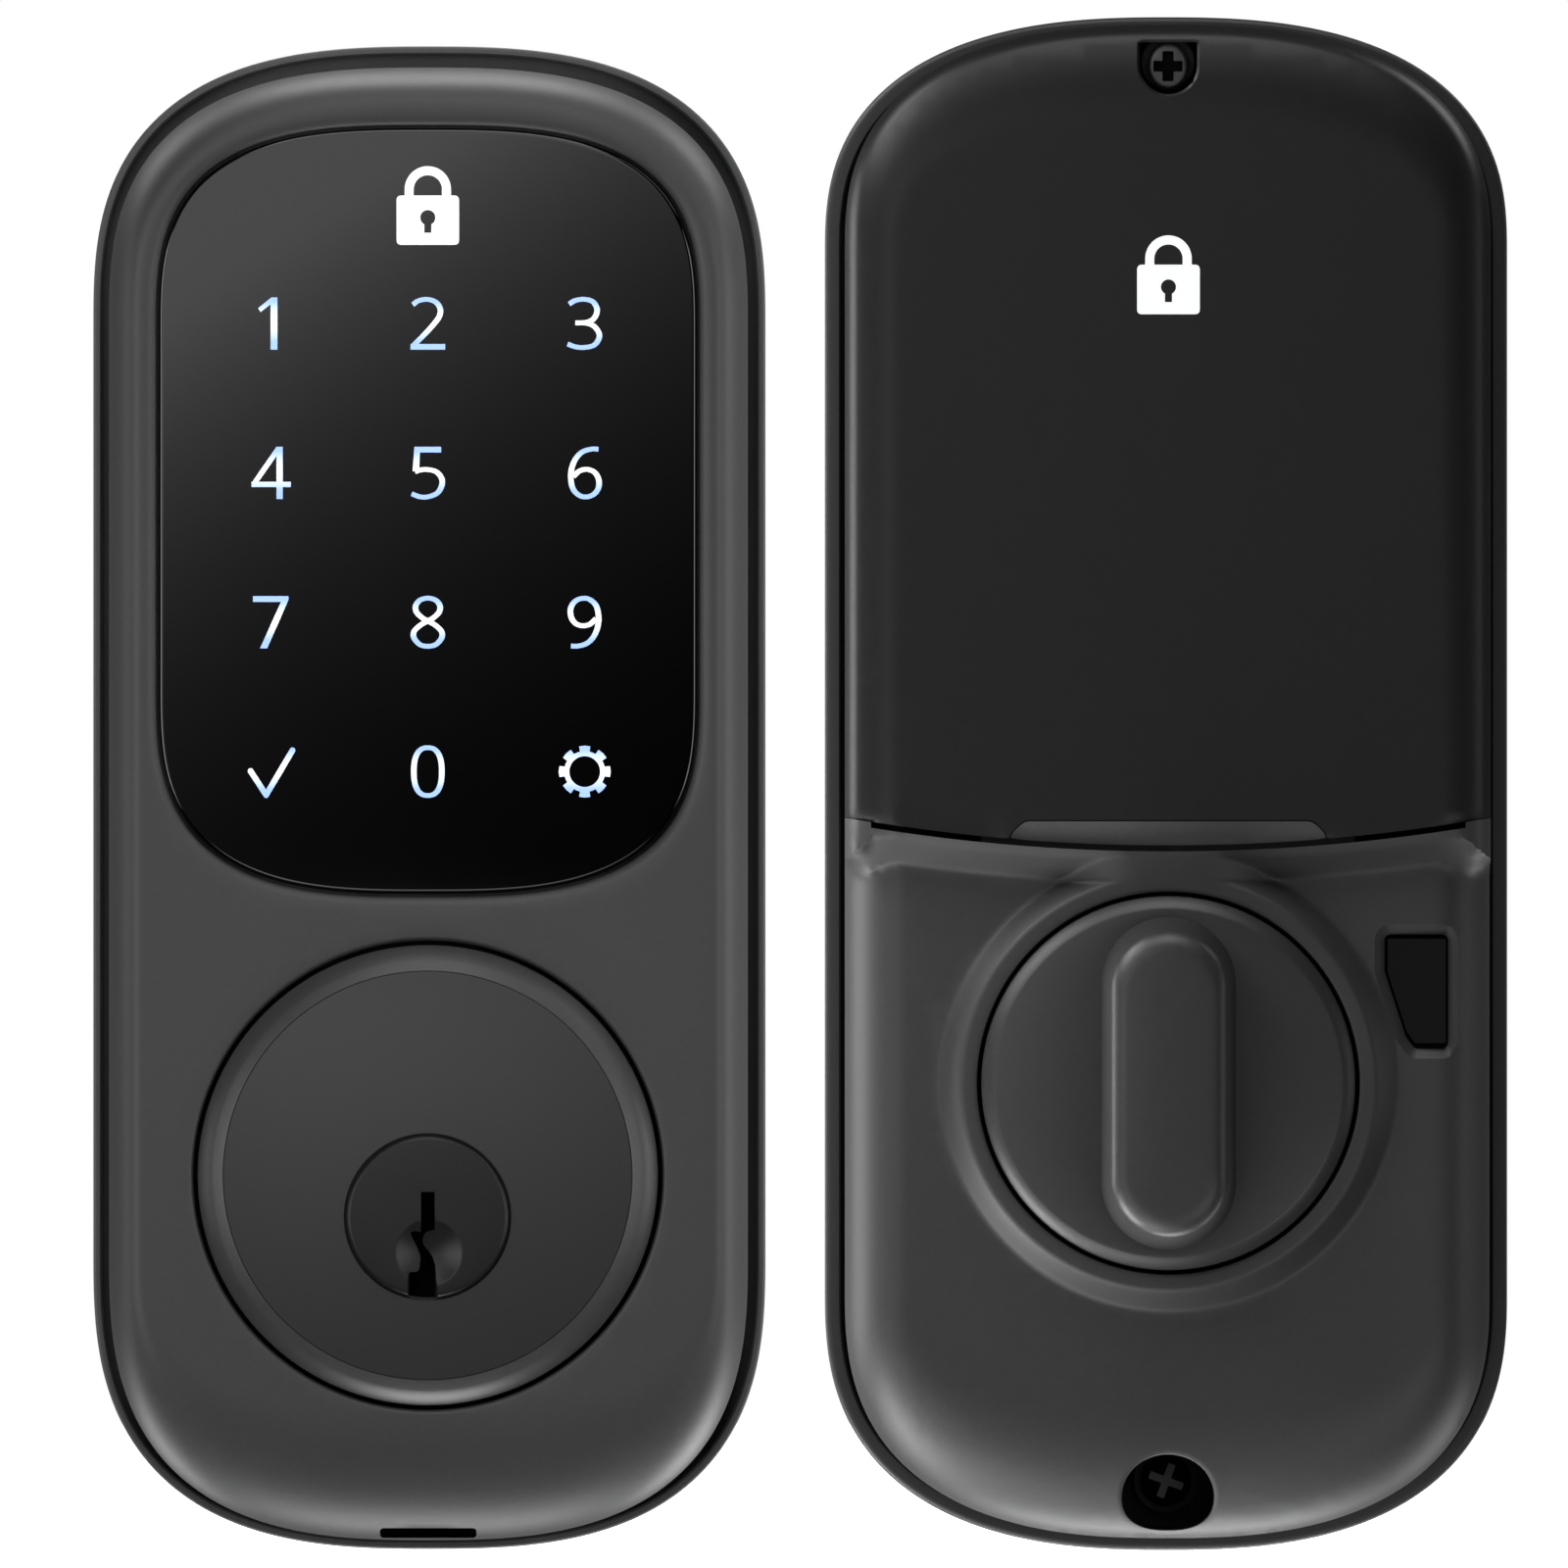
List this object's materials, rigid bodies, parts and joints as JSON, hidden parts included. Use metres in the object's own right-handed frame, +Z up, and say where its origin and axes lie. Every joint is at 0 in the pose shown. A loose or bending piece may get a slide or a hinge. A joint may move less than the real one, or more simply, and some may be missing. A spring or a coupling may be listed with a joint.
{
  "type": "keypad smart lock",
  "caption": "Keypad deadbolt lock: touch-glass exterior with key cylinder and tailpiece, and motorised interior with thumbturn, privacy button and sliding battery cover.",
  "frame": {"origin": "axis of the key plug and tailpiece, on the plane where the exterior module meets the door", "axes": "+Z up, +Y into the door along the tailpiece, +X to the right as the exterior module is looked at; the interior module stands beside the exterior one on the same plane, facing the same way"},
  "size_m": [0.1406, 0.092, 0.1524],
  "materials": {
    "powder_coat": "fine textured charcoal powder coat",
    "rim_coat": "fine textured charcoal powder coat, a little lighter",
    "satin_black": "satin black moulded plastic",
    "black_glass": "back-printed tempered glass, glossy",
    "legend_white": "back-lit white print",
    "light_guide": "milky clear acrylic",
    "board_green": "circuit board",
    "rubber_black": "soft black rubber",
    "steel": "zinc-plated steel",
    "dark_steel": "blackened screw",
    "brass": "turned brass",
    "gear_plastic": "acetal",
    "black_plastic": "black moulded plastic",
    "cell_jacket": "plain shrink jacket over a steel can",
    "socket_cream": "cream nylon connector"
  },
  "bodies": {
    "lock": {"exterior_gasket": "rubber_black", "exterior_backplate": "rim_coat", "exterior_housing": "powder_coat", "keypad_glass": "black_glass", "keypad_legends": "legend_white", "keypad_badge": "legend_white", "light_guide": "light_guide", "touch_board": "board_green", "keypad_leds": "light_guide", "buzzer": "black_plastic", "exterior_socket": "socket_cream", "cylinder_guard_ring": "powder_coat", "cylinder_body": "powder_coat", "driver_pins": "steel", "pin_springs": "steel", "cylinder_screws": "steel", "backplate_screws": "steel", "mounting_posts": "steel", "mounting_plate": "steel", "interior_base": "rim_coat", "interior_housing": "powder_coat", "battery_tray": "black_plastic", "batteries": "cell_jacket", "battery_springs": "steel", "battery_contacts": "steel", "main_board": "board_green", "radio_module": "steel", "interior_socket": "socket_cream", "gear_motor": "steel", "intermediate_axle": "steel", "gearbox_plate": "steel", "gearbox_cover": "steel", "position_switches": "black_plastic", "button_spring": "steel", "button_board": "board_green", "top_screw": "dark_steel", "bottom_screw": "dark_steel", "housing_screws": "steel"},
    "battery_cover": {"battery_cover": "satin_black", "cover_badge": "legend_white"},
    "thumbturn": {"thumbturn": "powder_coat", "turn_hub": "steel", "drive_gear": "gear_plastic", "thumbturn_retainer": "steel"},
    "intermediate_gear": {"intermediate_gear": "gear_plastic"},
    "motor_pinion": {"motor_pinion": "brass"},
    "key_plug": {"key_plug": "powder_coat", "key_pins": "brass", "plug_retainer": "steel", "tailpiece": "steel", "tailpiece_pin": "steel"},
    "privacy_button": {"privacy_button": "black_plastic"}
  },
  "joints": [
    {"name": "battery_cover_slide", "type": "slide", "parent": "lock", "child": "battery_cover", "axis": [0, 0, 1], "range_m": [0, 0.012]},
    {"name": "thumbturn_turn", "type": "hinge", "parent": "lock", "child": "thumbturn", "pos_m": [0.0733, 0, 0.0133], "axis": [0, 1, 0], "range_deg": [-90, 90]},
    {"name": "intermediate_gear_spin", "type": "hinge", "parent": "lock", "child": "intermediate_gear", "pos_m": [0.08246, 0, -0.00257], "axis": [0, 1, 0], "range_deg": [-301, 301]},
    {"name": "motor_pinion_spin", "type": "hinge", "parent": "lock", "child": "motor_pinion", "pos_m": [0.08001, 0, -0.01647], "axis": [0, 1, 0], "range_deg": [-902, 902]},
    {"name": "key_turn", "type": "hinge", "parent": "lock", "child": "key_plug", "pos_m": [0, 0, 0], "axis": [0, 1, 0], "range_deg": [-90, 90]},
    {"name": "privacy_button_press", "type": "slide", "parent": "lock", "child": "privacy_button", "axis": [0, 1, 0], "range_m": [0, 0.001], "stiffness_N_per_m": 250, "springref_m": -0.001}
  ],
  "couplings": [
    {"joint": "intermediate_gear_spin", "follows": "thumbturn_turn", "ratio": -3.3333},
    {"joint": "motor_pinion_spin", "follows": "thumbturn_turn", "ratio": 10}
  ]
}
